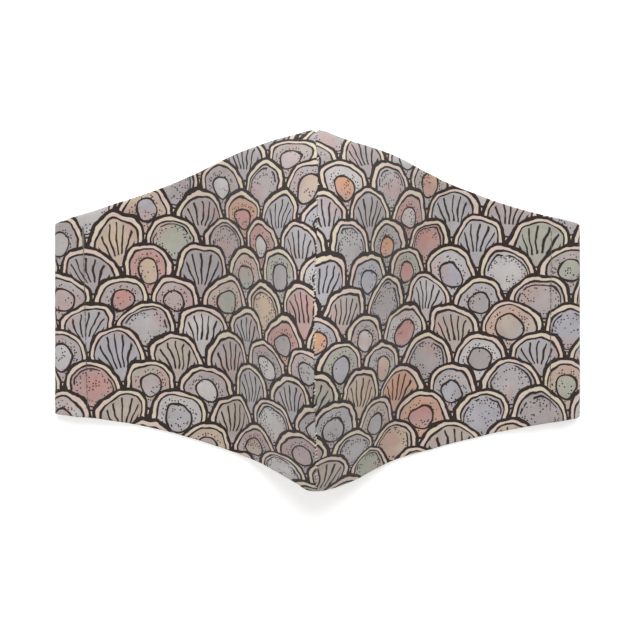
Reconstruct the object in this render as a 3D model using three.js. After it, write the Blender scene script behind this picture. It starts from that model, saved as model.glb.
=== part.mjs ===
// A cloth face mask with a seam down its centre, lying by itself on a table with its hollow down.
// Two contoured panels meet at the centre seam and stand up as a ridge over the nose, mouth and chin.
// Their flat wings lie on the table, and each wing's side edge is folded back into a casing,
// an open channel that an ear elastic runs through. Millimetres, +Z up, away from the face.
// +Y is towards the nose, and the origin is under the middle of the mask, on the table.
import * as THREE from "three";

// The whole mask, as it lies
const MASK_WIDTH = 225; // side edge to side edge
const MASK_HEIGHT = 149; // nose end to chin end of the centre seam
const RIDGE_HEIGHT = 54; // how far the centre seam rises above the flat wings

// Cloth
const PANEL_CLOTH = 1.5; // the panel's sewn layers together
const CASING_CLOTH = 1;
const ALLOWANCE_CLOTH = 1;
const SEAM_GAP = 0.3; // between two pieces that are sewn together

// Side casings
const CASING_WIDTH = 12.5; // side edge to stitch line
const CHANNEL_HEIGHT = 2.2; // room for the elastic
const HEM_WIDTH = 3; // the casing's inner edge, sewn flat under the wing
const WING_SLOPE_WIDTH = 26; // the wing comes down from the casing to the table over this width

// Centre seam
const ALLOWANCE_WIDTH = 7; // each side, pressed open inside
const ALLOWANCE_INSET = 2.5; // the allowance ends short of the nose and chin edges

// How finely the curved cloth is faceted
const PANEL_COLUMNS = 30;
const PANEL_ROWS = 24;
const ALLOWANCE_COLUMNS = 6;

const HALF_WIDTH = MASK_WIDTH / 2;
const HALF_HEIGHT = MASK_HEIGHT / 2;
const STITCH_LINE = HALF_WIDTH - CASING_WIDTH;
const CASING_LIFT = CASING_CLOTH + CHANNEL_HEIGHT; // the wing's underside over the channel

// The edges along the nose and the chin. across is a share of the half width from the centre seam,
// and the others are shares of the half height. The two panels are not quite alike.
const EDGES = [
  { across: 0.0, leftNose: 1.0, rightNose: 1.0, leftChin: -1.0, rightChin: -1.0 },
  { across: 0.03, leftNose: 0.992, rightNose: 0.992, leftChin: -0.997, rightChin: -0.998 },
  { across: 0.08, leftNose: 0.972, rightNose: 0.962, leftChin: -0.955, rightChin: -0.985 },
  { across: 0.14, leftNose: 0.955, rightNose: 0.934, leftChin: -0.912, rightChin: -0.955 },
  { across: 0.2, leftNose: 0.93, rightNose: 0.912, leftChin: -0.868, rightChin: -0.912 },
  { across: 0.3, leftNose: 0.886, rightNose: 0.87, leftChin: -0.811, rightChin: -0.842 },
  { across: 0.42, leftNose: 0.822, rightNose: 0.794, leftChin: -0.749, rightChin: -0.788 },
  { across: 0.6, leftNose: 0.72, rightNose: 0.691, leftChin: -0.671, rightChin: -0.717 },
  { across: 0.8, leftNose: 0.616, rightNose: 0.588, leftChin: -0.613, rightChin: -0.65 },
  { across: 1.0, leftNose: 0.516, rightNose: 0.516, leftChin: -0.578, rightChin: -0.6 },
];

// The centre seam from the chin to the nose. up is a share of the half height, rise a share of the
// ridge height, and foot how far out the ridge meets the flat wing, as a share of the half width.
const RIDGE = [
  { up: -1.0, rise: 0.35, foot: 0.235 },
  { up: -0.87, rise: 0.49, foot: 0.28 },
  { up: -0.58, rise: 0.7, foot: 0.375 },
  { up: -0.3, rise: 0.85, foot: 0.425 },
  { up: 0.02, rise: 0.945, foot: 0.45 },
  { up: 0.3, rise: 0.985, foot: 0.475 },
  { up: 0.45, rise: 1.0, foot: 0.5 },
  { up: 0.62, rise: 0.975, foot: 0.535 },
  { up: 0.82, rise: 0.865, foot: 0.58 },
  { up: 1.0, rise: 0.66, foot: 0.61 },
];

// The ridge's cross-section. out is a share of the foot's distance, high a share of the seam's rise.
const SLOPE = [
  { out: 0.0, high: 1.0 },
  { out: 0.05, high: 0.965 },
  { out: 0.14, high: 0.885 },
  { out: 0.28, high: 0.745 },
  { out: 0.42, high: 0.585 },
  { out: 0.56, high: 0.41 },
  { out: 0.7, high: 0.235 },
  { out: 0.84, high: 0.1 },
  { out: 1.0, high: 0.025 },
  { out: 1.2, high: 0.0 },
];

// The height of a table's column at a place along it, on a smooth curve that never overshoots a row.
function follow(table, along, column, place) {
  const last = table.length - 1;
  const x = THREE.MathUtils.clamp(place, table[0][along], table[last][along]);
  let row = 0;
  while (row < last - 1 && x > table[row + 1][along]) row += 1;
  const span = (i) => table[i + 1][along] - table[i][along];
  const secant = (i) => (table[i + 1][column] - table[i][column]) / span(i);
  const tangent = (i) => {
    if (i === 0) return secant(0);
    if (i === last) return secant(last - 1);
    const before = secant(i - 1);
    const after = secant(i);
    return before * after <= 0 ? 0 : (2 * before * after) / (before + after);
  };
  const t = (x - table[row][along]) / span(row);
  const rise = t * t * (3 - 2 * t);
  return (
    THREE.MathUtils.lerp(table[row][column], table[row + 1][column], rise) +
    span(row) * (t * (1 - t) ** 2 * tangent(row) - t * t * (1 - t) * tangent(row + 1))
  );
}

// The nose edge or chin edge at a place across the mask.
function edgeAt(x, edge) {
  const column = (x < 0 ? "left" : "right") + edge;
  return HALF_HEIGHT * follow(EDGES, "across", column, Math.abs(x) / HALF_WIDTH);
}

// The height of the cloth's outer face over the table.
function outerHeight(x, y) {
  const up = y / HALF_HEIGHT;
  const rise = RIDGE_HEIGHT * follow(RIDGE, "up", "rise", up);
  const foot = HALF_WIDTH * follow(RIDGE, "up", "foot", up);
  const ridge = rise * follow(SLOPE, "out", "high", Math.abs(x) / foot);
  const slopeStart = STITCH_LINE - HEM_WIDTH / 2 - WING_SLOPE_WIDTH;
  const wing = CASING_LIFT * THREE.MathUtils.smoothstep(Math.abs(x), slopeStart, slopeStart + WING_SLOPE_WIDTH);
  return PANEL_CLOTH + ridge + wing;
}

// The point that lies a given depth of cloth under the outer face. At the centre seam it stays
// in the seam's own plane, so that the two sides are mitred there.
function underFace(x, y, depth) {
  const step = 0.01;
  const mitred = Math.abs(x) <= SEAM_GAP;
  const side = x < 0 ? -step : step;
  const slopeX = (outerHeight(x + side, y) - outerHeight(x, y)) / side;
  const slopeY = (outerHeight(x, y + step) - outerHeight(x, y - step)) / (2 * step);
  const steepness = Math.hypot(slopeX, slopeY, 1);
  const out = new THREE.Vector3(-slopeX, -slopeY, 1).divideScalar(steepness);
  if (mitred) {
    out.x = 0;
    out.divideScalar(out.lengthSq());
  }
  return new THREE.Vector3(x, y, outerHeight(x, y)).addScaledVector(out, -depth);
}

// A box of cloth, bent so that its points go where place(across, up, through) says, each from 0 to 1.
function bentCloth(columns, rows, place) {
  const geometry = new THREE.BoxGeometry(1, 1, 1, columns, rows, 1);
  const points = geometry.attributes.position;
  for (let i = 0; i < points.count; i += 1) {
    const spot = place(points.getX(i) + 0.5, points.getY(i) + 0.5, points.getZ(i) + 0.5);
    points.setXYZ(i, spot.x, spot.y, spot.z);
  }
  geometry.deleteAttribute("uv");
  geometry.computeVertexNormals();
  return geometry;
}

// One panel, from the centre seam to its side edge. side is -1 for the left one and 1 for the right.
function panelGeometry(side) {
  const seamEdge = (side * SEAM_GAP) / 2;
  const sideEdge = side * HALF_WIDTH;
  return bentCloth(PANEL_COLUMNS, PANEL_ROWS, (across, up, through) => {
    const x = THREE.MathUtils.lerp(Math.min(seamEdge, sideEdge), Math.max(seamEdge, sideEdge), across);
    const y = THREE.MathUtils.lerp(edgeAt(x, "Chin"), edgeAt(x, "Nose"), up);
    return underFace(x, y, PANEL_CLOTH * (1 - through));
  });
}

// The seam's two allowances, pressed open against the inside of both panels.
function allowanceGeometry() {
  const top = PANEL_CLOTH + SEAM_GAP;
  return bentCloth(ALLOWANCE_COLUMNS, PANEL_ROWS, (across, up, through) => {
    const x = THREE.MathUtils.lerp(-ALLOWANCE_WIDTH, ALLOWANCE_WIDTH, across);
    const y = THREE.MathUtils.lerp(
      edgeAt(x, "Chin") + ALLOWANCE_INSET,
      edgeAt(x, "Nose") - ALLOWANCE_INSET,
      up,
    );
    return underFace(x, y, top + ALLOWANCE_CLOTH * (1 - through));
  });
}

// A side casing: the cloth folded back under the wing. Its outer fold and its sewn inner hem
// reach up to the wing, and between them it leaves the elastic's channel, open at the nose and chin.
function casingGeometry(side) {
  const top = CASING_LIFT - SEAM_GAP;
  const hemStart = STITCH_LINE - HEM_WIDTH / 2;
  const hemEnd = STITCH_LINE + HEM_WIDTH / 2;
  const profile = new THREE.Shape();
  profile.moveTo(hemStart, top);
  profile.lineTo(hemStart, top - CASING_CLOTH);
  profile.lineTo(hemEnd, 0);
  profile.lineTo(HALF_WIDTH - CASING_CLOTH, 0);
  profile.absarc(HALF_WIDTH - CASING_CLOTH, CASING_CLOTH, CASING_CLOTH, -Math.PI / 2, 0, false);
  profile.lineTo(HALF_WIDTH, top);
  profile.lineTo(HALF_WIDTH - CASING_CLOTH, top);
  profile.lineTo(HALF_WIDTH - CASING_CLOTH, CASING_CLOTH);
  profile.lineTo(hemEnd + CASING_CLOTH, CASING_CLOTH);
  profile.lineTo(hemStart + CASING_CLOTH, top);
  profile.closePath();
  const geometry = new THREE.ExtrudeGeometry(profile, { depth: 1, bevelEnabled: false, curveSegments: 3 });
  const points = geometry.attributes.position;
  for (let i = 0; i < points.count; i += 1) {
    const x = side * points.getX(i);
    const along = side > 0 ? 1 - points.getZ(i) : points.getZ(i);
    const y = THREE.MathUtils.lerp(edgeAt(x, "Chin"), edgeAt(x, "Nose"), along);
    points.setXYZ(i, x, y, points.getY(i));
  }
  geometry.deleteAttribute("uv");
  geometry.computeVertexNormals();
  return geometry;
}

// Materials
const printedCotton = new THREE.MeshStandardMaterial({ color: 0xb0a9a3, roughness: 0.9, metalness: 0 });
const printedCottonBack = new THREE.MeshStandardMaterial({ color: 0xa39d99, roughness: 0.9, metalness: 0 });
const plainCotton = new THREE.MeshStandardMaterial({ color: 0xe4dccb, roughness: 0.92, metalness: 0 });

function piece(name, geometry, material) {
  const mesh = new THREE.Mesh(geometry, material);
  mesh.name = name;
  return mesh;
}

const mask = new THREE.Group();
mask.add(piece("left_panel", panelGeometry(-1), printedCotton));
mask.add(piece("right_panel", panelGeometry(1), printedCotton));
mask.add(piece("centre_seam_allowance", allowanceGeometry(), plainCotton));
mask.add(piece("left_side_casing", casingGeometry(-1), printedCottonBack));
mask.add(piece("right_side_casing", casingGeometry(1), printedCottonBack));

export default mask;
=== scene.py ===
"""A cloth face mask lying on a table with its hollow down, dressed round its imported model.

Metres, +Z up, away from the wearer's face, +Y towards the nose. The panels' edges, ridge and its
section follow the same tables as the model's. The seam's wander, the fine relief, the print and
the stitches are made here alone.
"""

import math
import random

import bpy
import numpy as np
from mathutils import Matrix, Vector, noise


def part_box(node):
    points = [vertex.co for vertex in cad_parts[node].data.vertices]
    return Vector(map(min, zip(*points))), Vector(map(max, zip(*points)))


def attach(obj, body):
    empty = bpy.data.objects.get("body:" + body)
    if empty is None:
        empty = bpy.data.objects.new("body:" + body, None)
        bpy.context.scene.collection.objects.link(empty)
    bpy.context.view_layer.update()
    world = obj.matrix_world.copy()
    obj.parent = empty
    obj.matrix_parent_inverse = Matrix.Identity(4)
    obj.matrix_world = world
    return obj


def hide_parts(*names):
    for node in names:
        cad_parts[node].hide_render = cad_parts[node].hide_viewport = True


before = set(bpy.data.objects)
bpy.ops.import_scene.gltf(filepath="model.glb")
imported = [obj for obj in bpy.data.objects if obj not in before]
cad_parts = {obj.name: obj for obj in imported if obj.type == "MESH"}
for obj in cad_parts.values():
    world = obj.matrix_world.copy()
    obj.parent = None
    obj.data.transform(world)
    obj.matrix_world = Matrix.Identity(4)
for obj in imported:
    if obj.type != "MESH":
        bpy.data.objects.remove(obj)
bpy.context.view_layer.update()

MM = 0.001

# Sizes from the model
HALF_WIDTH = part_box("right_panel")[1].x
HALF_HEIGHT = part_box("right_panel")[1].y
PANEL_CLOTH = 1.5 * MM
RIDGE_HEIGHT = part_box("right_panel")[1].z - PANEL_CLOTH
SEAM_GAP = 0.3 * MM  # between one piece of cloth and the next
CASING_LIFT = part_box("right_side_casing")[1].z + SEAM_GAP  # the wing's underside over the casing

# Side casings
CASING_WIDTH = 12.5 * MM
CASING_CLOTH = 1.0 * MM
HEM_WIDTH = 3.0 * MM
WING_SLOPE_WIDTH = 26.0 * MM  # over which the wing rises to the casing
STITCH_LINE = HALF_WIDTH - CASING_WIDTH
FOLD_RADIUS = (CASING_LIFT + PANEL_CLOTH) / 2  # of the side edge's fold
FOLD_START = HALF_WIDTH - FOLD_RADIUS
CORNER_RADIUS = {-1: 0.5 * MM, 1: 1.5 * MM}  # of the left and the right side edge

# The turned hem of a casing, by its distances from the stitch line and the wing
HEM_ROOM = 0.8 * MM  # from the hem out to where the casing rises
HEM_TOP = 0.4 * MM  # from the stitch line in to where it is up
HEM_EDGE = 2.0 * MM  # from the stitch line in to its edge
HEM_GAP = 0.12 * MM  # under the wing
HEM_TURN = (3.2 * MM, 4.6 * MM)  # from the edge to the turning's end
HEM_EXTRA = 0.5  # the share by which its turning is thicker
CASING_WAVE = 0.12 * MM

# Centre seam
ALLOWANCE_WIDTH = 7.0 * MM
ALLOWANCE_CLOTH = 1.0 * MM
ALLOWANCE_INSET = 2.5 * MM  # from the nose and chin edges
ALLOWANCE_ROUND = 0.45 * MM
ALLOWANCE_WAVE = 0.35 * MM
CLEFT = (0.3 * MM, 0.5 * MM)  # where the two allowances part: its depth and half width
SEAM_ROUND = 0.9 * MM  # from the seam, over which each panel rolls in
MITRE_REACH = 2.5 * MM
NOTCH = (1.0 * MM, 0.9 * MM)  # where the panels' edges part at the nose tip, given likewise
RIM_ROUND = 0.75 * MM  # from the nose and chin edges, likewise
RIM_WAVE = 0.25 * MM

# The panels' fine relief. Each buckle has its height, its lengths across and along, and its seed.
BUCKLES = ((0.55 * MM, 34 * MM, 46 * MM, 3.0), (0.22 * MM, 13 * MM, 19 * MM, 7.0))
BUCKLE_REACH = 12 * MM  # from the centre seam
WING_BETWEEN = (0.45, 0.7)  # as shares of the half width
WING_LIFT = 0.1 * MM
SEAM_PUCKER = (0.22 * MM, 5.5 * MM, 3.5 * MM)  # height, length along the seam, and reach
STITCH_PUCKER = (0.16 * MM, 2.6 * MM, 2.6 * MM)
STITCH_DENT = (0.5 * MM, 0.8 * MM)  # depth and half width
CASING_FULLNESS = 0.45 * MM
TURNING = 0.22 * MM  # how far the turned-in edges raise the cloth
TURNING_END = (4.5 * MM, 6.5 * MM)
CREASE = (0.12 * MM, 0.8 * MM)  # beside the turned-in edge
CREASE_PLACE = 6.2 * MM
CALM_WIDTH = 7 * MM  # at the side edge, over which the relief dies out

# How finely the cloth is meshed
PANEL_ROWS = 110
CASING_ROWS = 80
FACE_STEP = 1.15 * MM
SEWN_REACH = 4 * MM  # beside the stitch line
SEWN_COLUMNS = 19
CHANNEL_COLUMNS = 6
WEB_COLUMNS = 8
RISE_COLUMNS = 12
ALLOWANCE_COLUMNS = 8
ROUND_STEPS = 5
FOLD_STEPS = 7

# The grid on which lengths of cloth are measured
LENGTH_COLUMNS = 226
LENGTH_ROWS = 330
LENGTH_REACH = 1.1  # up and down, as a share of the half height

ROW_SAG = 6 * MM  # of the print's rows at the centre seam

# Where on the printed cloth each piece was cut, in metres
CUT_FROM = {"left_panel": (0.31, 0.12), "right_panel": (0.93, 0.47)}
ALLOWANCE_CUT_FROM = (0.2, 0.7)


def table(columns, *rows):
    """A table's named columns as arrays."""
    return {name: np.array([row[i] for row in rows]) for i, name in enumerate(columns)}


# The edges along the nose and the chin. across is a share of the half width from the centre seam,
# and the others are shares of the half height.
EDGES = table(
    ("across", "left_nose", "right_nose", "left_chin", "right_chin"),
    (0.0, 1.0, 1.0, -1.0, -1.0),
    (0.03, 0.992, 0.992, -0.997, -0.998),
    (0.08, 0.972, 0.962, -0.955, -0.985),
    (0.14, 0.955, 0.934, -0.912, -0.955),
    (0.2, 0.93, 0.912, -0.868, -0.912),
    (0.3, 0.886, 0.87, -0.811, -0.842),
    (0.42, 0.822, 0.794, -0.749, -0.788),
    (0.6, 0.72, 0.691, -0.671, -0.717),
    (0.8, 0.616, 0.588, -0.613, -0.65),
    (1.0, 0.516, 0.516, -0.578, -0.6),
)

# The centre seam from the chin to the nose. up is a share of the half height, rise a share of the
# ridge height, and foot how far out the ridge meets the flat wing, as a share of the half width.
RIDGE = table(
    ("up", "rise", "foot"),
    (-1.0, 0.35, 0.235),
    (-0.87, 0.49, 0.28),
    (-0.58, 0.7, 0.375),
    (-0.3, 0.85, 0.425),
    (0.02, 0.945, 0.45),
    (0.3, 0.985, 0.475),
    (0.45, 1.0, 0.5),
    (0.62, 0.975, 0.535),
    (0.82, 0.865, 0.58),
    (1.0, 0.66, 0.61),
)

# The ridge's cross-section. out is a share of the foot's distance, high a share of the seam's rise.
SLOPE = table(
    ("out", "high"),
    (0.0, 1.0),
    (0.05, 0.965),
    (0.14, 0.885),
    (0.28, 0.745),
    (0.42, 0.585),
    (0.56, 0.41),
    (0.7, 0.235),
    (0.84, 0.1),
    (1.0, 0.025),
    (1.2, 0.0),
)

# How far the centre seam wanders aside, in metres, on its way from the chin to the nose
WANDER = table(
    ("up", "aside"),
    (-1.0, -0.7 * MM),
    (-0.93, -0.4 * MM),
    (-0.7, -0.6 * MM),
    (-0.3, -1.2 * MM),
    (0.1, -1.2 * MM),
    (0.4, -0.2 * MM),
    (0.8, 0.3 * MM),
    (0.93, -0.6 * MM),
    (1.0, -0.6 * MM),
)
WANDER_REACH = 40 * MM  # on both sides of the seam

# Where the centre seam is strained, so that its stitches show
STRAINED = ((-74 * MM, -48 * MM), (-12 * MM, -6 * MM), (2 * MM, 26 * MM))

# Stitches. A profile gives each point of one stitch: how far along it is, as a share, and how high
# it stands, or for the zigzag how deep it sinks, in millimetres.
THREAD_SIDES = 6
ASKEW = (0.13, 0.29, 1.0)  # a way that no stitch runs
FAR_FROM_RIM = 20 * MM
STITCH_INSET = 4.2 * MM  # from the nose and chin edges
FRONT_STITCH = (2.6 * MM, 2.4 * MM)  # from one to the next, and its length
FRONT_PROFILE = ((0.0, -0.28), (0.15, 0.02), (0.5, 0.02), (0.85, 0.02), (1.0, -0.28))
HEM_STITCH = (2.9 * MM, 2.6 * MM)
HEM_PROFILE = ((0.0, 0.3), (0.15, 0.0), (0.85, 0.0), (1.0, 0.3))
HEM_THREAD_DROP = 1.72 * MM  # under the wing
TACK_BETWEEN = (36 * MM, 22 * MM)  # the bar tack's ends, up from the middle
TACK_PITCH = 0.45 * MM
TACK_WIDTH = 0.52 * MM  # on both sides of the stitch line
TACK_PROFILE = ((0.0, -0.2), (0.2, 0.12), (0.8, 0.12), (1.0, -0.2))
ZIGZAG_PITCH = 1.9 * MM
ZIGZAG_BETWEEN = (0.3 * MM, 2.5 * MM)  # in from the allowance's free edge
ZIGZAG_DEPTH = 0.3 * MM
ZIGZAG_PROFILE = ((0.0, 0.3), (0.15, 0.0), (0.5, -0.1), (0.85, 0.0), (1.0, 0.3))
SEAM_THREAD_LIFT = 0.1 * MM
SEAM_THREAD_SINK = 2.5  # of its ends, as a multiple of the lift
SHOWN_STRAINED = 0.9  # the shares of its stitches that show
SHOWN_SLACK = 0.25
CASING_THREAD = 0.2 * MM  # each thread's radius
ZIGZAG_THREAD = 0.16 * MM
SEAM_THREAD = 0.21 * MM

# Each casing's stitch line: its distance from the middle at the nose end and the chin end
STITCHING = {-1: (100.4 * MM, 98.2 * MM), 1: (100.0 * MM, 99.4 * MM)}
STITCHING_END = 0.6  # how far up and down, as a share of the half height

# The camera, which looks straight down at the mask
CAMERA_PLACE = (1.08 * MM, -2.81 * MM, 600 * MM)
CAMERA_LENS = 78.4
CAMERA_SENSOR = 36

# The stage. A light is its place and size in metres, and its power in watts.
KEY_LIGHT = ((0.08, 0.73, 0.66), 1.0, 8.9)
FILL_LIGHT = ((-0.9, -0.3, 1.3), 1.6, 4.0)
WORLD_LIGHT = 0.55
FLOOR_SIZE = 8
FLOOR_DROP = 0.15 * MM
FLOOR_GLOW = 0.27
FLOOR_COLOUR = (0.96, 0.96, 0.96, 1)
WHITE = (1, 1, 1, 1)


def follow(rows, along, column, place):
    """A table's column at places along it, on a smooth curve that never overshoots a row."""
    xs, ys = rows[along], rows[column]
    spans = np.diff(xs)
    secants = np.diff(ys) / spans
    before, after = secants[:-1], secants[1:]
    level = before * after <= 0
    middle = np.where(level, 0, 2 * before * after / np.where(level, 1, before + after))
    tangents = np.concatenate([secants[:1], middle, secants[-1:]])
    x = np.clip(place, xs[0], xs[-1])
    row = np.clip(np.searchsorted(xs, x, side="right") - 1, 0, len(spans) - 1)
    t = (x - xs[row]) / spans[row]
    blend = t * t * (3 - 2 * t)
    bend = t * (1 - t) ** 2 * tangents[row] - t * t * (1 - t) * tangents[row + 1]
    return ys[row] + (ys[row + 1] - ys[row]) * blend + spans[row] * bend


def smoothstep(low, high, x):
    """0 below low, 1 above high, and smooth between."""
    t = np.clip((x - low) / (high - low), 0, 1)
    return t * t * (3 - 2 * t)


def edge_at(x, side, edge):
    """How far up a panel's nose edge or chin edge is, at places across the mask."""
    column = ("left_" if side < 0 else "right_") + edge
    return HALF_HEIGHT * follow(EDGES, "across", column, np.abs(x) / HALF_WIDTH)


def outer_height(x, y):
    """The height of the cloth's outer face over the table, before its fine relief."""
    up = y / HALF_HEIGHT
    rise = RIDGE_HEIGHT * follow(RIDGE, "up", "rise", up)
    foot = HALF_WIDTH * follow(RIDGE, "up", "foot", up)
    ridge = rise * follow(SLOPE, "out", "high", np.abs(x) / foot)
    slope_start = STITCH_LINE - HEM_WIDTH / 2 - WING_SLOPE_WIDTH
    wing = CASING_LIFT * smoothstep(slope_start, slope_start + WING_SLOPE_WIDTH, np.abs(x))
    return PANEL_CLOTH + ridge + wing


def stacked(*parts):
    """Points or vectors from the arrays of their parts."""
    return np.stack(np.broadcast_arrays(*parts), axis=-1)


def outer_face(x, y):
    """Points on the cloth's outer face, before its fine relief."""
    return stacked(x + wander(x, y), y, outer_height(x, y))


def unit(vectors):
    """Vectors brought to a length of one."""
    return vectors / np.linalg.norm(vectors, axis=-1, keepdims=True)


def outer_normal(x, y, side):
    """The outer face's normal, with its slope across taken on the panel's own side of the seam."""
    step = 0.01 * MM
    slope_x = (outer_height(x + side * step, y) - outer_height(x, y)) / (side * step)
    slope_y = (outer_height(x, y + step) - outer_height(x, y - step)) / (2 * step)
    return unit(stacked(-slope_x, -slope_y, 1.0))


def inward(normal, x):
    """The way from the outer face to the inner one. Near the centre seam it turns into the seam's
    plane, so that the two panels are mitred there."""
    turn = smoothstep(0, MITRE_REACH, np.abs(x))
    way = normal * stacked(turn, 1.0, 1.0)
    return -way / (way * normal).sum(axis=-1, keepdims=True)


def wander(x, y):
    """How far a place is carried aside by the centre seam's wander."""
    near = np.clip(1 - np.abs(x) / WANDER_REACH, 0, 1) ** 2
    return near * follow(WANDER, "up", "aside", y / HALF_HEIGHT)


def ripple(x, y, across, along, seed):
    """Smooth noise from -1 to 1, with its own lengths across and along the mask."""
    places = zip(x.ravel(), y.ravel())
    values = [noise.noise(Vector((a / across, b / along, seed))) for a, b in places]
    return np.array(values).reshape(x.shape)


def roundness(distance, radius):
    """The share of its thickness that cloth has at a distance from its rolled edge."""
    inside = 1 - np.clip(distance / radius, 0, 1)
    return np.sqrt(np.clip(1 - inside * inside, 0, 1))


def dip(distance, depth_and_width):
    """How deep a narrow dip is at a distance from its middle."""
    depth, width = depth_and_width
    return depth * np.exp(-((distance / width) ** 2))


def corner(x, side):
    """How much shorter the cloth is at its side edge, for its rounded corners."""
    radius = CORNER_RADIUS[side]
    out = np.clip((np.abs(x) - HALF_WIDTH + radius) / radius, 0, 1)
    return radius * (1 - np.sqrt(1 - out * out))


def rim_steps(radius):
    """Distances from a rolled edge, close together where it is round."""
    return radius * (1 - np.cos(np.linspace(0, math.pi / 2, ROUND_STEPS)))


def rows_between(low, high, count):
    """Rows from one rolled rim to the other, and each row's distance from the nearer rim."""
    rim = rim_steps(RIM_ROUND)
    share = np.linspace(0, 1, count + 2)[1:-1]
    first = low + rim[:, None]
    last = high - rim[::-1, None]
    middle = first[-1] + (last[0] - first[-1]) * share[:, None]
    rows = np.concatenate([first, middle, last])
    return rows, np.minimum(rows - low, high - rows)


def stitch_at(side, y):
    """The casing's stitch line, as a distance from the middle."""
    nose, chin = STITCHING[side]
    return chin + (nose - chin) * (y / HALF_HEIGHT + STITCHING_END) / (2 * STITCHING_END)


def pucker(y, distance, wave, seed):
    """The puckers that a row of stitches makes in the cloth at a distance from it."""
    height, length, reached = wave
    return height * ripple(y * 0, y, 1.0, length, seed) * np.exp(-distance / reached)


def relief(x, y, rim, side):
    """The panel's fine relief: buckles, puckers, the casing's fullness and the turned-in edges."""
    away = np.abs(x)
    buckles = sum(high * ripple(x, y, wide, long, seed + side) for high, wide, long, seed in BUCKLES)
    wing = smoothstep(WING_BETWEEN[0] * HALF_WIDTH, WING_BETWEEN[1] * HALF_WIDTH, away)
    buckles = buckles * (1 - wing) + (np.abs(buckles) + WING_LIFT) * wing
    buckles *= smoothstep(0, BUCKLE_REACH, away)
    gap = away - stitch_at(side, y)
    sewn = pucker(y, away, SEAM_PUCKER, 11.0) - dip(gap, STITCH_DENT)
    sewn += pucker(y, np.abs(gap), STITCH_PUCKER, 17.0 + side)
    over_channel = (gap / (FOLD_START - STITCH_LINE)).clip(0, 1)
    full = CASING_FULLNESS * np.sin(math.pi * over_channel)
    turned = TURNING * (1 - smoothstep(*TURNING_END, rim))
    pressed = -dip(rim - CREASE_PLACE, CREASE)
    flat = 1 - smoothstep(HALF_WIDTH - CALM_WIDTH, FOLD_START, away)
    return (buckles + sewn + full + turned + pressed) * flat


def cloth_lengths():
    """The lengths of cloth over a panel: across from its side edge, and up from its middle."""
    xs = np.linspace(0, HALF_WIDTH, LENGTH_COLUMNS)
    ys = np.linspace(-LENGTH_REACH * HALF_HEIGHT, LENGTH_REACH * HALF_HEIGHT, LENGTH_ROWS)
    x, y = np.meshgrid(xs, ys)
    z = outer_height(x, y)
    slope_x = np.gradient(z, xs, axis=1)
    slope_y = np.gradient(z, ys, axis=0)
    across = np.cumsum(np.sqrt(1 + slope_x**2), axis=1) * (xs[1] - xs[0])
    across = across[:, -1:] - across
    along = np.cumsum(np.sqrt(1 + slope_y**2), axis=0) * (ys[1] - ys[0])
    along = along - along[len(ys) // 2]
    return xs, ys, across, along


def read_grid(xs, ys, grid, x, y):
    """A grid's values between its points."""
    i = np.clip((x - xs[0]) / (xs[1] - xs[0]), 0, len(xs) - 1.001)
    j = np.clip((y - ys[0]) / (ys[1] - ys[0]), 0, len(ys) - 1.001)
    i0, j0 = i.astype(int), j.astype(int)
    s, t = i - i0, j - j0
    low = grid[j0, i0] * (1 - s) + grid[j0, i0 + 1] * s
    high = grid[j0 + 1, i0] * (1 - s) + grid[j0 + 1, i0 + 1] * s
    return low * (1 - t) + high * t


def cloth_place(side, x, y, lengths):
    """Where a place on the mask lies on the flat cloth that the panel was cut from."""
    xs, ys, across, along = lengths
    away = np.abs(x)
    foot = HALF_WIDTH * follow(RIDGE, "up", "foot", y / HALF_HEIGHT)
    sag = ROW_SAG * follow(SLOPE, "out", "high", away / foot)
    u = side * (HALF_WIDTH - read_grid(xs, ys, across, away, y))
    v = read_grid(xs, ys, along, away, y) + sag
    return stacked(u, v)


def add_object(name, data):
    """Puts a mesh, a light or a camera into the scene."""
    added = bpy.data.objects.new(name, data)
    bpy.context.scene.collection.objects.link(added)
    return added


def quads(a, b, c, d):
    """Four-sided faces from four arrays of corners."""
    return stacked(a, b, c, d).reshape(-1, 4)


def sheet_faces(outer, inner, welds):
    """The faces of a sheet from its two grids of points, with a flat wall along each side that isn't
    welded. Returns the outer face's, the inner face's and the walls'."""
    front = quads(outer[:-1, :-1], outer[:-1, 1:], outer[1:, 1:], outer[1:, :-1])
    back = quads(inner[:-1, :-1], inner[1:, :-1], inner[1:, 1:], inner[:-1, 1:])
    walls = {
        "low": quads(inner[0, :-1], inner[0, 1:], outer[0, 1:], outer[0, :-1]),
        "high": quads(outer[-1, :-1], outer[-1, 1:], inner[-1, 1:], inner[-1, :-1]),
        "first": quads(outer[:-1, 0], outer[1:, 0], inner[1:, 0], inner[:-1, 0]),
        "last": quads(inner[:-1, -1], inner[1:, -1], outer[1:, -1], outer[:-1, -1]),
    }
    return front, back, [wall for side, wall in walls.items() if side not in welds]


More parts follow.
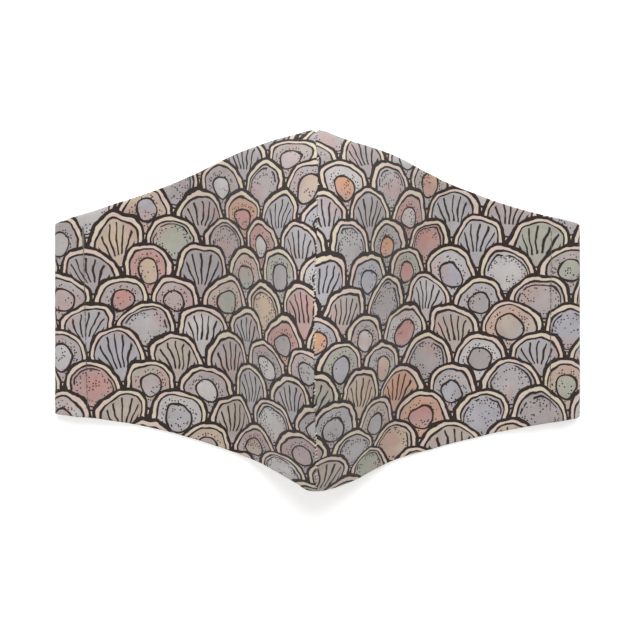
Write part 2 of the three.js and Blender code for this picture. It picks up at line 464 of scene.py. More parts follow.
def thick_sheet(name, grid, welds, finish):
    """A piece of cloth as one closed mesh. Its grid gives the points halfway through it, the way from
    there to its outer face, and each point's place on the flat cloth. The sides named in welds are
    rolled edges, where both faces meet."""
    middle, half, cloth = grid
    rows, columns = middle.shape[:2]
    outer = np.arange(rows * columns).reshape(rows, columns)
    inner = outer + rows * columns
    sides = {"low": np.s_[0, :], "high": np.s_[-1, :], "first": np.s_[:, 0], "last": np.s_[:, -1]}
    for weld in welds:
        inner[sides[weld]] = outer[sides[weld]]
    front, back, walls = sheet_faces(outer, inner, welds)
    faces = np.concatenate([front, back, *walls])
    kinds = np.zeros(len(faces), int)
    kinds[len(front) : len(front) + len(back)] = 1
    smooth = np.arange(len(faces)) < len(front) + len(back)
    runs_left = middle[0, -1, 0] <= middle[0, 0, 0]
    if runs_left:
        faces = faces[:, ::-1]

    points = np.concatenate([(middle + half).reshape(-1, 3), (middle - half).reshape(-1, 3)])
    flat = np.concatenate([cloth.reshape(-1, 2)] * 2)
    used, compact = np.unique(faces, return_inverse=True)
    faces = compact.reshape(-1, 4)
    points, flat = points[used], flat[used]

    mesh = bpy.data.meshes.new(name)
    mesh.from_pydata(points.tolist(), [], faces.tolist())
    mesh.materials.append(finish)
    mesh.materials.append(PLAIN_COTTON)
    mesh.polygons.foreach_set("material_index", kinds.astype(np.int32))
    mesh.polygons.foreach_set("use_smooth", smooth)
    place = mesh.attributes.new("cloth", "FLOAT_VECTOR", "POINT")
    millimetres = np.column_stack([flat, np.zeros(len(flat))]) / MM
    place.data.foreach_set("vector", millimetres.astype(np.float32).ravel())
    mesh.update()
    mesh.validate()
    return add_object(name, mesh)


# Shader nodes, written as arithmetic


def operator(operation, swapped=False):
    """What an arithmetic sign between fields does: it adds a Math node."""
    if swapped:
        return lambda field, other: maths(operation, other, field)
    return lambda field, *other: maths(operation, field, *other)


class Field:
    """A value that varies over the cloth: a shader node's output, whose arithmetic adds nodes."""

    def __init__(self, socket):
        self.socket = socket

    __add__ = __radd__ = operator("ADD")
    __mul__ = __rmul__ = operator("MULTIPLY")
    __sub__ = operator("SUBTRACT")
    __rsub__ = operator("SUBTRACT", swapped=True)
    __truediv__ = operator("DIVIDE")
    __abs__ = operator("ABSOLUTE")
    __gt__ = operator("GREATER_THAN")
    __lt__ = operator("LESS_THAN")


def add_node(tree, kind, inputs, **settings):
    """A node in a tree, with its settings, and its inputs joined to fields or set to values."""
    node = tree.nodes.new(kind)
    for key, value in settings.items():
        setattr(node, key, value)
    for key, value in inputs.items():
        if isinstance(value, Field):
            tree.links.new(value.socket, node.inputs[key])
        else:
            node.inputs[key].default_value = value
    return node


def tree_of(*inputs):
    """The node tree of the fields among some inputs."""
    return next(x.socket.id_data for x in inputs if isinstance(x, Field))


def maths(operation, *inputs, kind="ShaderNodeMath"):
    node = add_node(tree_of(*inputs), kind, dict(enumerate(inputs)), operation=operation)
    return Field(node.outputs[0])


def greatest(*fields):
    """The greatest of some fields, place by place."""
    most = fields[0]
    for field in fields[1:]:
        most = maths("MAXIMUM", most, field)
    return most


def scaled(vector, factor):
    """A vector or a colour times a number."""
    inputs = {0: vector, "Scale": factor}
    node = add_node(tree_of(vector), "ShaderNodeVectorMath", inputs, operation="SCALE")
    return Field(node.outputs[0])


def split(vector):
    node = add_node(tree_of(vector), "ShaderNodeSeparateXYZ", {0: vector})
    return [Field(out) for out in node.outputs]


def joined(x, y):
    node = add_node(tree_of(x, y), "ShaderNodeCombineXYZ", {0: x, 1: y})
    return Field(node.outputs[0])


def attribute(tree, name, output):
    """What a mesh says of each of its points under a name."""
    node = add_node(tree, "ShaderNodeAttribute", {}, attribute_name=name)
    return Field(node.outputs[output])


def ramp_up(value, low, high):
    """0 below low, 1 above high, and smooth between."""
    inputs = {"Value": value, "From Min": low, "From Max": high}
    node = add_node(tree_of(value), "ShaderNodeMapRange", inputs, interpolation_type="SMOOTHSTEP")
    return Field(node.outputs[0])


def cloud(place, size, detail=2.0, roughness=0.5):
    """Soft noise whose patches are about size millimetres across. Returns its value and colour."""
    inputs = {"Vector": place, "Scale": 1 / size, "Detail": detail, "Roughness": roughness}
    node = add_node(tree_of(place), "ShaderNodeTexNoise", inputs, noise_dimensions="2D")
    return Field(node.outputs["Fac"]), Field(node.outputs["Color"])


def patches(place, size, low, high):
    """Soft patches, which begin where the noise is over low and are full where it is over high."""
    return ramp_up(cloud(place, size)[0], low, high)


def swayed(place, size, distance):
    """The place moved about smoothly, up to about half a distance each way."""
    kind = "ShaderNodeVectorMath"
    offset = maths("SUBTRACT", cloud(place, size)[1], (0.5, 0.5, 0.5), kind=kind)
    return maths("ADD", place, scaled(offset, distance), kind=kind)


def mix(share, a, b):
    """Colour a where share is 0 and b where it is 1."""
    inputs = {"Factor": share, 6: a, 7: b}
    node = add_node(tree_of(share, a, b), "ShaderNodeMix", inputs, data_type="RGBA")
    return Field(node.outputs[2])


STAGE_GAIN = 1.12  # what the stage's light does to a colour


def lit(red, green, blue):
    """The cloth's own colour, as a shader takes it, from the screen colour that it has when lit."""
    parts = [c / 255 for c in (red, green, blue)]
    parts = [c / 12.92 if c <= 0.04045 else ((c + 0.055) / 1.055) ** 2.4 for c in parts]
    return [c / STAGE_GAIN for c in parts] + [1.0]


INK = lit(46, 36, 35)
CREAM = lit(213, 200, 178)
CREAM_PINK = lit(212, 190, 179)
WASH_EDGE = lit(172, 163, 161)
BLUSH = lit(188, 146, 140)
COOL = lit(167, 164, 172)
# Each wash and the share of the scales that have it
WASHES = (
    (lit(199, 194, 191), 0.16),
    (lit(177, 172, 172), 0.17),
    (lit(177, 165, 162), 0.15),
    (lit(182, 169, 156), 0.1),
    (lit(165, 157, 156), 0.1),
    (lit(200, 177, 154), 0.08),
    (lit(190, 142, 133), 0.05),
    (lit(169, 170, 154), 0.06),
    (lit(206, 156, 124), 0.04),
    (lit(171, 169, 176), 0.09),
)
PLAIN = lit(222, 214, 198)
PLAIN_SHADE = lit(216, 206, 188)
# The casing thread's grey is darkened to stand also for the shade in its sunken stitch line: partly
# painted shade
THREAD_GREY = lit(98, 90, 88)
THREAD_TACK = lit(126, 126, 119)
THREAD_CREAM = lit(244, 240, 232)

# Sizes in the print, in millimetres
SCALE_PITCH = 25.0
LINE = 1.4
FINE_LINE = 0.88
INK_BLEED = 0.09
WASH_BLEED = 0.07
BORDER = 3.15  # from a scale's edge to its wash
ARC = 4.4  # from the wash's edge to the line round its heart
RIB_TURN = 0.19  # between ribs, in radians
RIB_START = (8.5, 8.9)  # from the scale's foot
RIB_END = (1.3, 1.6)  # from the wash's edge
INNER_LINE = 1.5  # from the wash's edge to the broken line in a plain scale
INNER_SWAY = 0.9
WASH_SOAK = (0.8, 6.5)  # from the wash's edge to its full colour
DOT_INSET = 1.0  # from the wash's edge to the dots
DOT_PITCH = 1.3
DOT_EDGE = (0.28, 0.4)
DOTS_BEGIN = (0.8, 1.2)
DOTS_END = (2.6, 3.4)

# How the hand varies: the sizes of its waves and the distances that they move a line
HAND_SWAYS = ((34.0, 9.0), (12.0, 2.8), (4.2, 0.8))
PEN_SIZE = 5.0
PEN_PRESSURE = (0.6, 0.8)  # the least, and how much more the most is
BORDER_TONE = (0.96, 0.08)
WASH_TONE = (0.81, 0.36)
RIB_WIDTH = 0.9  # ribs and inner lines, as shares of a fine line
INNER_WIDTH = 0.8

# Which random numbers, from 0 to 1, pick the kinds of scales, and the dots
RIBBED_BELOW = 0.34
BANDED_OVER = 0.64
EDGE_DOTS_OVER = 0.3
PATCH_DOTS_OVER = 0.4
DOT_SCATTER = 0.9

# Patches of colour: their size, the noise that they begin at and are full at, and how strong
PINK_PATCHES = (17.0, 0.38, 0.62)
BLUSH_PATCHES = (19.0, 0.54, 0.68)
COOL_PATCHES = (42.0, 0.5, 0.64)
DOT_PATCHES = (7.5, 0.54, 0.58)
INNER_PATCHES = (6.5, 0.4, 0.44)
BLUSH_STRENGTH = 0.4
COOL_STRENGTH = 0.25
EDGE_STRENGTH = 0.35

# The weave, in millimetres
THREAD_PITCH = 0.36
WEAVE_SWAY = (7.0, 1.5)
SLUB_WIDTH = 0.45
SLUB_LENGTH = 9.0

# Painted highlight along the ridge's crest: how much brighter, how far from the seam, and where along it
HIGHLIGHT_STRENGTH = 0.25
HIGHLIGHT_REACH = 11 * MM
HIGHLIGHT_START = (-40 * MM, -4 * MM)
HIGHLIGHT_END = (30 * MM, 56 * MM)


def wash_colour(chance):
    """One of the washes, picked by a chance from 0 to 1."""
    node = add_node(tree_of(chance), "ShaderNodeValToRGB", {"Fac": chance})
    node.color_ramp.interpolation = "CONSTANT"
    elements = node.color_ramp.elements
    elements.remove(elements[1])
    start = 0.0
    for i, (colour, share) in enumerate(WASHES):
        element = elements[0] if i == 0 else elements.new(start)
        element.position = start
        element.color = colour
        start += share
    return Field(node.outputs["Color"])


def reach(x, y):
    """How far a way goes."""
    return maths("SQRT", x * x + y * y)


def scale(place):
    """The scale that a place on the cloth lies in. Its foot is covered by two scales of the row
    before it. Returns how far the place is in from the head's edge and from those two scales, its
    way from the scale's middle, all in millimetres, and the scale's own random colour."""
    x, y, _ = split(place)
    radius = SCALE_PITCH / 2
    row = maths("FLOOR", y / radius)
    odd = row - 2.0 * maths("FLOOR", row / 2.0)
    front = maths("ROUND", x / SCALE_PITCH - 0.5 * odd) + 0.5 * odd
    even = 1.0 - odd
    back = maths("ROUND", x / SCALE_PITCH - 0.5 * even) + 0.5 * even
    behind = reach(x - front * SCALE_PITCH, y - row * radius) > radius
    column = front + (back - front) * behind
    row = row + behind
    x = x - column * SCALE_PITCH
    y = y - row * radius
    from_head = radius - reach(x, y)
    from_front = reach(abs(x) - radius, y + radius) - radius
    inputs = {"Vector": joined(column, row)}
    white = add_node(tree_of(x), "ShaderNodeTexWhiteNoise", inputs, noise_dimensions="2D")
    return from_head, from_front, x, y, Field(white.outputs["Color"])


def line_mask(distance, width):
    """1 on a drawn line and 0 off it."""
    return 1.0 - ramp_up(abs(distance), width / 2 - INK_BLEED, width / 2 + INK_BLEED)


def past_edge(distance):
    """1 where the distance inside a wash's edge is over zero, and 0 outside it."""
    return ramp_up(distance, -WASH_BLEED, WASH_BLEED)


def drawn_by_hand(place):
    """The place moved about a little, so that lines drawn by rule look drawn by hand."""
    for size, distance in HAND_SWAYS:
        place = swayed(place, size, distance)
    return place


def varied(least_and_span, noise_value):
    """A number that goes up by a span from its least value as a noise goes from 0 to 1."""
    least, span = least_and_span
    return least + span * noise_value


def washed(chance, inside, tone):
    """A scale's colour: a wash that is stronger in the middle and greyer towards the edge."""
    full = wash_colour(chance)
    edge = mix(EDGE_STRENGTH, full, WASH_EDGE)
    return scaled(mix(ramp_up(inside, *WASH_SOAK), edge, full), varied(WASH_TONE, tone))


def stippled(place, inside):
    """Ink dots in patches and along the edge, by the place's distance inside that edge."""
    inputs = {"Vector": place, "Scale": 1 / DOT_PITCH, "Randomness": DOT_SCATTER}
    specks = add_node(tree_of(place), "ShaderNodeTexVoronoi", inputs, voronoi_dimensions="2D")
    chance = split(Field(specks.outputs["Color"]))[0]
    dot = 1.0 - ramp_up(Field(specks.outputs["Distance"]) * DOT_PITCH, *DOT_EDGE)
    begun = ramp_up(inside, *DOTS_BEGIN)
    band = begun * (1.0 - ramp_up(inside, *DOTS_END)) * (chance > EDGE_DOTS_OVER)
    patch = begun * patches(place, *DOT_PATCHES) * (chance > PATCH_DOTS_OVER)
    return dot * maths("MINIMUM", band + patch, 1.0)


def inked(place, from_head, in_wash, in_heart, foot_way, kinds, tone):
    """The ink of a scale: its outline, the line round its wash, and its ribs, arc or dots. foot_way is
    the way from the scale's foot."""
    ribbed, banded, plain = kinds
    pressure = varied(PEN_PRESSURE, cloud(place, PEN_SIZE)[0])
    width = LINE * pressure
    fine = FINE_LINE * pressure
    outline = 1.0 - ramp_up(from_head, width - INK_BLEED, width + INK_BLEED)
    rim = line_mask(in_wash, fine)
    arc = line_mask(in_heart, fine) * banded
    from_foot = reach(*foot_way)
    turn = maths("PINGPONG", maths("ARCTAN2", *foot_way), RIB_TURN / 2)
    ribs = line_mask(turn * from_foot, fine * RIB_WIDTH) * ribbed
    ribs = ribs * ramp_up(from_foot, *RIB_START) * ramp_up(in_wash, *RIB_END)
    inner = line_mask(in_wash - INNER_LINE - INNER_SWAY * (tone - 0.5), fine * INNER_WIDTH)
    inner = inner * patches(place, *INNER_PATCHES) * plain
    dots = stippled(place, in_wash - DOT_INSET) * (1.0 - ribbed)
    return greatest(outline, rim, arc, ribs, inner, dots)


def scale_print(place):
    """The print: staggered rows of overlapping scales, each with a cream border and a wash."""
    tone = cloud(place, 8.0, detail=3.0)[0]
    from_head, from_front, x, y, random_colour = scale(drawn_by_hand(place))
    chance, kind, heart_chance = split(random_colour)
    ribbed = kind < RIBBED_BELOW
    banded = kind > BANDED_OVER
    plain = 1.0 - ribbed - banded

    border = mix(patches(place, *PINK_PATCHES), CREAM, CREAM_PINK)
    border = scaled(border, varied(BORDER_TONE, cloud(place, 3.0)[0]))
    in_wash = from_head - BORDER
    in_heart = in_wash - ARC
    inside = maths("MINIMUM", in_wash, from_front)
    heart = washed(heart_chance, inside, tone)
    wash = mix(banded * past_edge(in_heart), washed(chance, inside, tone), heart)
    wash = mix(BLUSH_STRENGTH * patches(place, *BLUSH_PATCHES), wash, BLUSH)
    wash = mix(COOL_STRENGTH * patches(place, *COOL_PATCHES), wash, COOL)
    colour = mix(past_edge(in_wash), border, wash)

    foot_way = (x, y + SCALE_PITCH / 2)
    ink = inked(place, from_head, in_wash, in_heart, foot_way, (ribbed, banded, plain), tone)
    # The print is made brighter along the ridge's crest: a painted highlight.
    painted_highlight = attribute(tree_of(place), "painted_highlight", "Fac")
    return scaled(mix(ink, colour, INK), 1.0 + HIGHLIGHT_STRENGTH * painted_highlight)


def plain_paint(place):
    """Unbleached cotton's colour, with its flecks."""
    tone = cloud(place, 14.0, detail=3.0)[0]
    fleck = cloud(place, 0.9, detail=2.0)[0]
    return scaled(mix(ramp_up(tone, 0.35, 0.65), PLAIN, PLAIN_SHADE), varied((0.95, 0.1), fleck))


def weave(place):
    """The height of a plain weave, from 0 to 1, and its threads' uneven brightness."""
    u, v, _ = split(swayed(place, *WEAVE_SWAY))
    across = maths("SINE", u * (math.pi / THREAD_PITCH))
    along = maths("SINE", v * (math.pi / THREAD_PITCH))
    over = across * along > 0.0
    height = over * abs(across) + (1.0 - over) * abs(along)
    warp = cloud(joined(u / SLUB_WIDTH, v / SLUB_LENGTH), 1.0, detail=1.0)[0]
    weft = cloud(joined(u / SLUB_LENGTH, v / SLUB_WIDTH), 1.0, detail=1.0)[0]
    return height, 0.5 * (warp + weft)


def shader_of(name, **settings):
    """A new material and its shader, with some of the shader's sockets set."""
    material = bpy.data.materials.new(name)
    material.use_nodes = True
    shader = material.node_tree.nodes["Principled BSDF"]
    for socket, value in settings.items():
        shader.inputs[socket.replace("_", " ")].default_value = value
    return material, shader


def drive(shader, **fields):
    """Joins fields to a shader's sockets."""
    for socket, field in fields.items():
        shader.id_data.links.new(field.socket, shader.inputs[socket.replace("_", " ")])


def bumped(height, strength, distance):
    """The normal of a surface with a fine height on it."""
    inputs = {"Height": height, "Strength": strength, "Distance": distance}
    return Field(add_node(tree_of(height), "ShaderNodeBump", inputs).outputs["Normal"])


def cotton(name, paint):
    """Matt cotton with a plain weave. paint gives its colour from the place on the cloth."""
    material, shader = shader_of(name, Sheen_Weight=0.18, Sheen_Roughness=0.55, Specular_IOR_Level=0.25)
    place = attribute(shader.id_data, "cloth", "Vector")
    height, uneven = weave(place)
    drive(
        shader,
        # Lighter on the weave's raised threads and darker between them: painted light and shade
        Base_Color=scaled(paint(place), 0.86 + 0.1 * height + 0.16 * uneven),
        Roughness=0.82 + 0.14 * uneven,
        Normal=bumped(height + 1.2 * uneven, strength=0.45, distance=0.12 * MM),
    )
    return material


def thread_finish(name, base):
    """Sewing thread, with its twist as bump."""
    material, shader = shader_of(name, Roughness=0.6, Sheen_Weight=0.2)
    tree = shader.id_data
    place = Field(add_node(tree, "ShaderNodeTexCoord", {}).outputs["Object"])
    inputs = {"Vector": place, "Scale": 1 / (3 * MM), "Detail": 2.0}
    tone = Field(add_node(tree, "ShaderNodeTexNoise", inputs).outputs["Fac"])
    shade = [c * 0.8 for c in base[:3]] + [1.0]
    inputs = {"Vector": place, "Scale": 1 / (1.6 * MM)}
    twist = add_node(tree, "ShaderNodeTexWave", inputs, bands_direction="DIAGONAL")
    bump = bumped(Field(twist.outputs["Fac"]), strength=0.5, distance=0.06 * MM)
    drive(shader, Base_Color=mix(tone, shade, base), Normal=bump)
    return material


PRINTED_COTTON = cotton("printed_cotton", scale_print)
PLAIN_COTTON = cotton("plain_cotton", plain_paint)
GREY_THREAD = thread_finish("grey_thread", THREAD_GREY)
CREAM_THREAD = thread_finish("cream_thread", THREAD_CREAM)
TACK_THREAD = thread_finish("tack_thread", THREAD_TACK)


def panel_columns():
    """Distances of the panel's columns from the centre seam, up to where the side edge folds."""
    face = np.arange(SEAM_ROUND + 0.5 * MM, STITCH_LINE - SEWN_REACH, FACE_STEP)
    sewn = np.linspace(STITCH_LINE - SEWN_REACH, STITCH_LINE + SEWN_REACH, SEWN_COLUMNS)
    channel = np.linspace(STITCH_LINE + SEWN_REACH, FOLD_START, CHANNEL_COLUMNS + 1)[1:]
    return np.concatenate([rim_steps(SEAM_ROUND), face, sewn, channel])


def panel_rows(side, columns):
    """The panel's rows at its columns, with their distances from its nose or chin edge."""
    wave = RIM_WAVE * ripple(columns, columns * 0 + side, 9 * MM, 1.0, 23.0)
    wave *= smoothstep(0, 8 * MM, columns) * (1 - smoothstep(-8 * MM, -3 * MM, columns - HALF_WIDTH))
    wave += corner(columns, side)
    chin, nose = edge_at(columns, side, "chin"), edge_at(columns, side, "nose")
    return rows_between(chin + wave, nose - wave - dip(columns, NOTCH), PANEL_ROWS)


def keep_on_table(middle, half):
    """Lifts what would lie below the table."""
    middle[..., 2] = np.maximum(middle[..., 2], np.abs(half[..., 2]))


def panel_grid(side, node):
    """The panel's points: halfway through the cloth, the way to its outer face, and its place on the
    flat cloth. The last columns turn down round the side edge's fold."""
    away = panel_columns()
    start = len(away) - 1
    arc = np.linspace(0, math.pi / 2, FOLD_STEPS + 1)
    columns = np.concatenate([away, away[-1] + FOLD_RADIUS * np.sin(arc[1:])])
    y, rim = panel_rows(side, columns)
    x = np.broadcast_to(np.minimum(columns, away[-1]), y.shape) * side
    way = inward(outer_normal(x, y, side), x)
    face = outer_face(x, y)
    face = face - way * relief(x, y, rim, side)[..., None]
    thickness = roundness(rim, RIM_ROUND) * roundness(np.abs(x), SEAM_ROUND)
    middle = face + way * PANEL_CLOTH / 2
    half = -way * (PANEL_CLOTH / 2) * thickness[..., None]
    cloth = cloth_place(side, x, y, cloth_lengths())

    # The fold: an arc about an axis under the last flat column
    folded = np.s_[:, start:]
    direction = stacked(side * np.sin(arc), 0.0, np.cos(arc))
    axis = face[:, start : start + 1, :] - [0, 0, FOLD_RADIUS]
    centre = np.broadcast_to(axis, middle[folded].shape).copy()
    centre[..., 1] = y[folded]
    middle[folded] = centre + direction * (FOLD_RADIUS - PANEL_CLOTH / 2)
    half[folded] = direction * (PANEL_CLOTH / 2) * roundness(rim[folded], RIM_ROUND)[..., None]
    cloth[folded][..., 0] += side * FOLD_RADIUS * arc
    keep_on_table(middle, half)
    return middle, half, cloth + CUT_FROM[node]


def mark_painted_highlight(panel):
    """Gives each point of a panel its share of the painted highlight along the ridge's crest."""
    mesh = panel.data
    points = np.empty(len(mesh.vertices) * 3, np.float32)
    mesh.vertices.foreach_get("co", points)
    x, y, _ = points.reshape(-1, 3).T
    along = smoothstep(*HIGHLIGHT_START, y) * (1 - smoothstep(*HIGHLIGHT_END, y))
    share = np.exp(-((x / HIGHLIGHT_REACH) ** 2)) * along
    mesh.attributes.new("painted_highlight", "FLOAT", "POINT").data.foreach_set("value", share)


def make_panel(side, node):
    grid = panel_grid(side, node)
    piece = thick_sheet(node + "_cloth", grid, ("low", "high", "first"), PRINTED_COTTON)
    mark_painted_highlight(piece)
    return piece


def casing_path():
    """A casing's cross-section, as distances from the middle and heights. The cloth goes on round the
    fold, back under the wing, and up to the wing's underside at the stitch line."""
    radius = FOLD_RADIUS - CASING_CLOTH / 2
    turn = np.linspace(math.pi / 2, math.pi, FOLD_STEPS + 1)
    bend = stacked(FOLD_START + radius * np.sin(turn), FOLD_RADIUS + radius * np.cos(turn))
    foot = STITCH_LINE + HEM_WIDTH / 2 + HEM_ROOM
    web_x = np.linspace(FOLD_START, foot, WEB_COLUMNS + 1)[1:]
    web = stacked(web_x, CASING_CLOTH / 2)
    top = CASING_LIFT - HEM_GAP - CASING_CLOTH * (1 + HEM_EXTRA) / 2
    rise_x = np.linspace(foot, STITCH_LINE - HEM_EDGE, RISE_COLUMNS + 1)[1:]
    share = smoothstep(foot, STITCH_LINE - HEM_TOP, rise_x)
    rise = stacked(rise_x, CASING_CLOTH / 2 + (top - CASING_CLOTH / 2) * share)
    tip = STITCH_LINE - HEM_EDGE - rim_steps(RIM_ROUND)[1:]
    end = stacked(tip, top)
    return np.concatenate([bend, web, rise, end])


def casing_grid(side, panel):
    """A casing's points, given as a panel's are. It was cut in one with its panel, and its own edge
    is turned under."""
    path = casing_path()
    away, height = path.T
    step = np.gradient(path, axis=0)
    out = unit(stacked(step[:, 1], -step[:, 0]))
    length = np.concatenate([[0], np.cumsum(np.linalg.norm(np.diff(path, axis=0), axis=1))])
    left = length[-1] - length
    turned = 1 + HEM_EXTRA * (1 - smoothstep(*HEM_TURN, left))
    thickness = CASING_CLOTH / 2 * turned * roundness(left, RIM_ROUND)

    chin = edge_at(away, side, "chin") + corner(away, side)
    nose = edge_at(away, side, "nose") - corner(away, side)
    y, rim = rows_between(chin, nose, CASING_ROWS)
    middle = stacked(side * away, y, height)
    wave = CASING_WAVE * (ripple(middle[..., 0] * side, y, 6 * MM, 7 * MM, 31.0 + side) + 0.5)
    middle[..., 2] += np.clip(wave, 0, None) * (away < FOLD_START)
    direction = stacked(side * out[:, 0], 0 * y, out[:, 1])
    half = -direction * (thickness * roundness(rim, RIM_ROUND))[..., None]
    keep_on_table(middle, half)
    u = side * (HALF_WIDTH + FOLD_RADIUS * (math.pi / 2 - 1) + length)
    return middle, half, stacked(u, y) + CUT_FROM[panel]


def make_casing(side, node, panel):
    grid = casing_grid(side, panel)
    return thick_sheet(node + "_cloth", grid, ("low", "high", "last"), PRINTED_COTTON)


def allowance_grid():
    """The seam's two allowances, pressed open against the inside of the panels."""
    side_out = ALLOWANCE_WIDTH - rim_steps(ALLOWANCE_ROUND)
    away = np.concatenate([side_out, np.linspace(side_out[-1], 0, ALLOWANCE_COLUMNS + 1)[1:]])
    columns = np.concatenate([-away, away[::-1][1:]])
    left = columns < 0
    chin, nose = (
        np.where(left, edge_at(columns, -1, edge), edge_at(columns, 1, edge)) for edge in ("chin", "nose")
    )
    y, rim = rows_between(chin + ALLOWANCE_INSET, nose - ALLOWANCE_INSET, PANEL_ROWS)
    x = np.broadcast_to(columns, y.shape)
    normal = np.where(left[:, None], outer_normal(x, y, -1), outer_normal(x, y, 1))
    way = inward(normal, x)
    face = outer_face(x, y)
    free = smoothstep(0.3, 1.0, np.abs(x) / ALLOWANCE_WIDTH)
    wave = ALLOWANCE_WAVE * free * (0.6 + ripple(x, y, 9 * MM, 8 * MM, 41.0))
    cleft = dip(x, CLEFT)
    depth = PANEL_CLOTH + SEAM_GAP + ALLOWANCE_CLOTH / 2 + np.clip(wave, 0, None)
    middle = face + way * (depth - cleft / 2)[..., None]
    thick = roundness(ALLOWANCE_WIDTH - np.abs(x), ALLOWANCE_ROUND) * roundness(rim, ALLOWANCE_ROUND)
    half = -way * ((ALLOWANCE_CLOTH - cleft) / 2 * thick)[..., None]
    return middle, half, stacked(x, y) + ALLOWANCE_CUT_FROM


def make_allowance():
    welds = ("low", "high", "first", "last")
    return thick_sheet("seam_allowance_cloth", allowance_grid(), welds, PLAIN_COTTON)


def thread_mesh(name, stitches, radius, finish):
    """Many short lengths of thread as one mesh. Each stitch is a list of points along it."""
    angle = 2 * math.pi * np.arange(THREAD_SIDES)[:, None] / THREAD_SIDES
    points, faces = [], []
    for stitch in stitches:
        line = np.array(stitch)
        ahead = unit(np.gradient(line, axis=0))
        first = unit(np.cross(ahead, ASKEW))
        second = np.cross(ahead, first)
        ring = np.arange(THREAD_SIDES) + len(points)
        for at, a, b in zip(line, first, second):
            points.extend(at + radius * (np.cos(angle) * a + np.sin(angle) * b))
        cap = ring[::-1].tolist()
        for _ in line[1:]:
            beyond = ring + THREAD_SIDES
            faces.extend(quads(ring, np.roll(ring, -1), np.roll(beyond, -1), beyond).tolist())
            ring = beyond
        faces.extend([cap, ring.tolist()])
    mesh = bpy.data.meshes.new(name)
    mesh.from_pydata([tuple(p) for p in points], [], faces)
    mesh.materials.append(finish)
    mesh.polygons.foreach_set("use_smooth", np.ones(len(faces), bool))
    mesh.update()
    return add_object(name, mesh)


def front_points(side, away, y):
    """Points on a panel's outer face, with its fine relief, and the normals there."""
    x = side * away
    normals = outer_normal(x, y, side)
    face = outer_face(x, y)
    rim = np.full_like(x, FAR_FROM_RIM)
    return face + normals * relief(x, y, rim, side)[..., None], normals


def face_stitch(side, away, y, lift):
    """A stitch on a panel's outer face, whose points stand lift millimetres over it."""
    points, normals = front_points(side, away, y)
    return points + normals * (lift * MM)[:, None]


def stitch_starts(side, away, pitch, length):
    """Where the stitches along a casing start, from the chin edge to the nose edge."""
    y = edge_at(away, side, "chin") + STITCH_INSET
    high = edge_at(away, side, "nose") - STITCH_INSET
    starts = []
    while y + length < high:
        starts.append(y)
        y += pitch
    return starts


def casing_stitches(side):
    """The casing's stitch line on the front: a row of machine stitches."""
    pitch, length = FRONT_STITCH
    t, lift = np.array(FRONT_PROFILE).T
    stitches = []
    for y in stitch_starts(side, stitch_at(side, 0.0), pitch, length):
        at = y + t * length
        stitches.append(face_stitch(side, stitch_at(side, at), at, lift))
    return stitches


def hem_stitches(side):
    """The same stitch line seen from below, on the casing's turned edge."""
    pitch, length = HEM_STITCH
    t, lift = np.array(HEM_PROFILE).T
    stitches = []
    for y in stitch_starts(side, STITCH_LINE, pitch, length):
        at = y + t * length
        z = CASING_LIFT - HEM_THREAD_DROP + lift * MM
        stitches.append(stacked(side * stitch_at(side, at), at, z))
    return stitches


def bar_tack(side, high, low):
    """Close stitches to and fro over the start of a casing's stitch line."""
    t, lift = np.array(TACK_PROFILE).T
    stitches = []
    for i, y in enumerate(np.arange(low, high, TACK_PITCH)):
        wide = TACK_WIDTH * math.sin(math.pi * min(1, 0.25 + (high - y) / (high - low)))
        start = -wide if i % 2 else wide
        away = stitch_at(side, y) + start * (1 - 2 * t)
        stitches.append(face_stitch(side, away, y + t * TACK_PITCH, lift))
    return stitches


def seam_stitches(chance):
    """Short threads that show where the centre seam's stitches pull on the two panels."""
    stitches = []
    y = -0.97 * HALF_HEIGHT
    while y < 0.97 * HALF_HEIGHT:
        strained = any(low < y < high for low, high in STRAINED)
        if chance.random() < (SHOWN_STRAINED if strained else SHOWN_SLACK):
            tilt = chance.uniform(0.1, 0.5) * MM
            away = np.array([0.5 * MM])
            (left,), (normal,) = front_points(-1, away, np.array([y - tilt]))
            (right,), _ = front_points(1, away, np.array([y + tilt]))
            middle = (left + right) / 2
            pull = chance.uniform(0.7, 1.1)
            up = np.array(Vector((0, normal[1], normal[2])).normalized() * SEAM_THREAD_LIFT)
            ends = [middle + (p - middle) * pull - SEAM_THREAD_SINK * up for p in (left, right)]
            stitches.append([ends[0], middle + up, ends[1]])
        y += chance.uniform(1.3, 2.2) * MM
    return stitches


def allowance_stitches():
    """Zigzag stitches over the free edges of the seam allowances, inside the mask."""
    top = PANEL_CLOTH + SEAM_GAP + ALLOWANCE_CLOTH + ZIGZAG_DEPTH
    near, far = ZIGZAG_BETWEEN
    t, sink = np.array(ZIGZAG_PROFILE).T
    stitches = []
    for side in (-1, 1):
        for i, y in enumerate(np.arange(-0.93 * HALF_HEIGHT, 0.91 * HALF_HEIGHT, ZIGZAG_PITCH / 2)):
            ends = (near, far) if i % 2 else (far, near)
            x = side * (ALLOWANCE_WIDTH - ends[0] - (ends[1] - ends[0]) * t)
            at = y + t * ZIGZAG_PITCH / 2
            way = inward(outer_normal(x, at, side), x)
            stitches.append(outer_face(x, at) + way * (top - sink * MM)[:, None])
    return stitches


def area_light(name, place, size, power):
    """A round lamp that looks at the mask."""
    light = bpy.data.lights.new(name, "AREA")
    light.shape = "DISK"
    light.size = size
    light.energy = power
    lamp = add_object(name, light)
    lamp.location = place
    lamp.rotation_euler = (-Vector(place)).to_track_quat("-Z", "Y").to_euler()


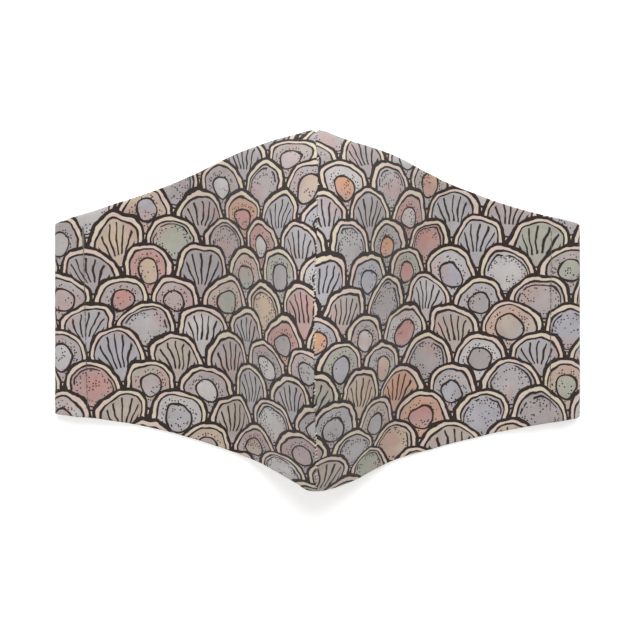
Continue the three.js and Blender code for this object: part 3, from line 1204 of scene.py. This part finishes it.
def make_floor():
    bpy.ops.mesh.primitive_plane_add(size=FLOOR_SIZE, location=(0, 0, -FLOOR_DROP))
    floor = bpy.context.active_object
    floor.name = "floor"
    look = dict(Base_Color=FLOOR_COLOUR, Roughness=0.95, Specular_IOR_Level=0.1)
    material, _ = shader_of("floor", Emission_Color=WHITE, Emission_Strength=FLOOR_GLOW, **look)
    floor.data.materials.append(material)


def make_stage():
    """A pale floor, soft light from above, and the camera."""
    make_floor()
    area_light("key", *KEY_LIGHT)
    area_light("fill", *FILL_LIGHT)
    world = bpy.data.worlds.new("studio")
    world.use_nodes = True
    background = world.node_tree.nodes["Background"]
    background.inputs["Color"].default_value = WHITE
    background.inputs["Strength"].default_value = WORLD_LIGHT
    bpy.context.scene.world = world
    bpy.context.scene.view_settings.view_transform = "Standard"
    camera = bpy.data.cameras.new("camera")
    camera.lens = CAMERA_LENS
    camera.sensor_width = CAMERA_SENSOR
    camera.clip_start = 0.01
    view = add_object("camera", camera)
    view.location = CAMERA_PLACE
    bpy.context.scene.camera = view


def dress():
    """Makes each piece from its place on the cloth, hides the part it replaces, and hangs it on the root.
    """
    chance = random.Random(7)
    for side, word in ((-1, "left"), (1, "right")):
        panel = make_panel(side, word + "_panel")
        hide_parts(word + "_panel")
        casing = make_casing(side, word + "_side_casing", word + "_panel")
        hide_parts(word + "_side_casing")
        stitches = casing_stitches(side) + hem_stitches(side)
        thread = thread_mesh(word + "_casing_stitches", stitches, CASING_THREAD, GREY_THREAD)
        slots = {panel: "printed_cotton", casing: "casing_cotton", thread: "printed_cotton"}
        if side < 0:
            stitches = bar_tack(side, *TACK_BETWEEN)
            slots[thread_mesh("left_bar_tack", stitches, CASING_THREAD, TACK_THREAD)] = "printed_cotton"
        for piece, slot in slots.items():
            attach(piece, "root")
    allowance = make_allowance()
    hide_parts("centre_seam_allowance")
    zigzag = thread_mesh("allowance_stitches", allowance_stitches(), ZIGZAG_THREAD, CREAM_THREAD)
    seam = thread_mesh("centre_seam_stitches", seam_stitches(chance), SEAM_THREAD, CREAM_THREAD)
    for piece in (allowance, zigzag, seam):
        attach(piece, "root")


make_stage()
dress()
